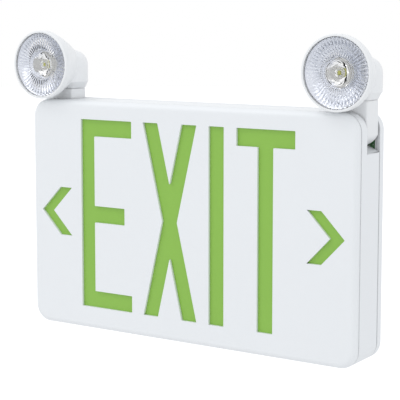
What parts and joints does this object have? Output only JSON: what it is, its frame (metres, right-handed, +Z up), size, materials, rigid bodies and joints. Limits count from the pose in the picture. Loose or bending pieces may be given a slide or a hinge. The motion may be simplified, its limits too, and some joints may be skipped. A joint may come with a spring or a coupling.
{
  "type": "emergency exit light",
  "caption": "Wall-hung exit sign: shallow white box with a stencil-cut face over a coloured lit panel, and round lamp heads that swivel on swing-out arms at its top corners.",
  "frame": {"origin": "centre of the back plate's flat wall face", "axes": "+X to the viewer's right along the face, -Y out of the wall towards the viewer, +Z up"},
  "size_m": [0.3224, 0.0505, 0.2426],
  "materials": {
    "white_housing": "fine satin",
    "green_panel": "smooth, translucent",
    "white_tray": "matt",
    "circuit_board": "satin",
    "dark_plastic": "matt",
    "grey_plastic": "matt",
    "battery_sleeve": "smooth sleeve",
    "lead_sleeve": "satin",
    "plated_steel": "bright zinc",
    "finned_aluminium": "as extruded",
    "clear_lens": "clear moulded plastic",
    "reflector_white": "glossy",
    "emitter": "phosphor under clear dome",
    "indicator_red": "tinted clear"
  },
  "bodies": {
    "sign_box": {"front_cover": "white_housing", "legend_panel": "green_panel", "housing": "white_housing", "back_plate": "white_housing", "plate_screws": "plated_steel", "light_tray": "white_tray", "upper_led_strip": "white_tray", "lower_led_strip": "white_tray", "main_board": "circuit_board", "transformer": "grey_plastic", "board_parts": "dark_plastic", "terminal_block": "grey_plastic", "battery_pack": "battery_sleeve", "battery_strap": "plated_steel", "strap_screws": "plated_steel", "battery_leads": "lead_sleeve", "control_board": "circuit_board", "test_switch": "dark_plastic", "status_lamp": "indicator_red", "right_arm_retainer": "white_housing", "left_arm_retainer": "white_housing", "right_retainer_screws": "plated_steel", "left_retainer_screws": "plated_steel", "right_pivot_screw": "plated_steel", "left_pivot_screw": "plated_steel", "right_friction_washer": "plated_steel", "left_friction_washer": "plated_steel"},
    "right_arm_body": {"right_arm": "white_housing", "right_swivel_clip": "plated_steel"},
    "left_arm_body": {"left_arm": "white_housing", "left_swivel_clip": "plated_steel"},
    "right_lamp_head": {"right_lamp_housing": "white_housing", "right_lens": "clear_lens", "right_reflector": "reflector_white", "right_lamp_board": "white_tray", "right_diode": "emitter", "right_heat_sink": "finned_aluminium"},
    "left_lamp_head": {"left_lamp_housing": "white_housing", "left_lens": "clear_lens", "left_reflector": "reflector_white", "left_lamp_board": "white_tray", "left_diode": "emitter", "left_heat_sink": "finned_aluminium"},
    "button": {"test_button": "grey_plastic"}
  },
  "joints": [
    {"name": "right_arm_swing", "type": "hinge", "parent": "sign_box", "child": "right_arm_body", "pos_m": [0.1362, -0.0179, 0.08085], "axis": [0, 1, 0], "range_deg": [0, 90]},
    {"name": "left_arm_swing", "type": "hinge", "parent": "sign_box", "child": "left_arm_body", "pos_m": [-0.1362, -0.0179, 0.08085], "axis": [0, -1, 0], "range_deg": [0, 90]},
    {"name": "right_head_swivel", "type": "hinge", "parent": "right_arm_body", "child": "right_lamp_head", "pos_m": [0.1337, -0.0209, 0.10085], "axis": [0, 0, 1], "range_deg": [-65, 65]},
    {"name": "left_head_swivel", "type": "hinge", "parent": "left_arm_body", "child": "left_lamp_head", "pos_m": [-0.1337, -0.0209, 0.10085], "axis": [0, 0, 1], "range_deg": [-65, 65]},
    {"name": "test_button_press", "type": "slide", "parent": "sign_box", "child": "button", "axis": [0, 0, 1], "range_m": [0, 0.001], "stiffness_N_per_m": 600, "springref_m": -0.0005}
  ]
}
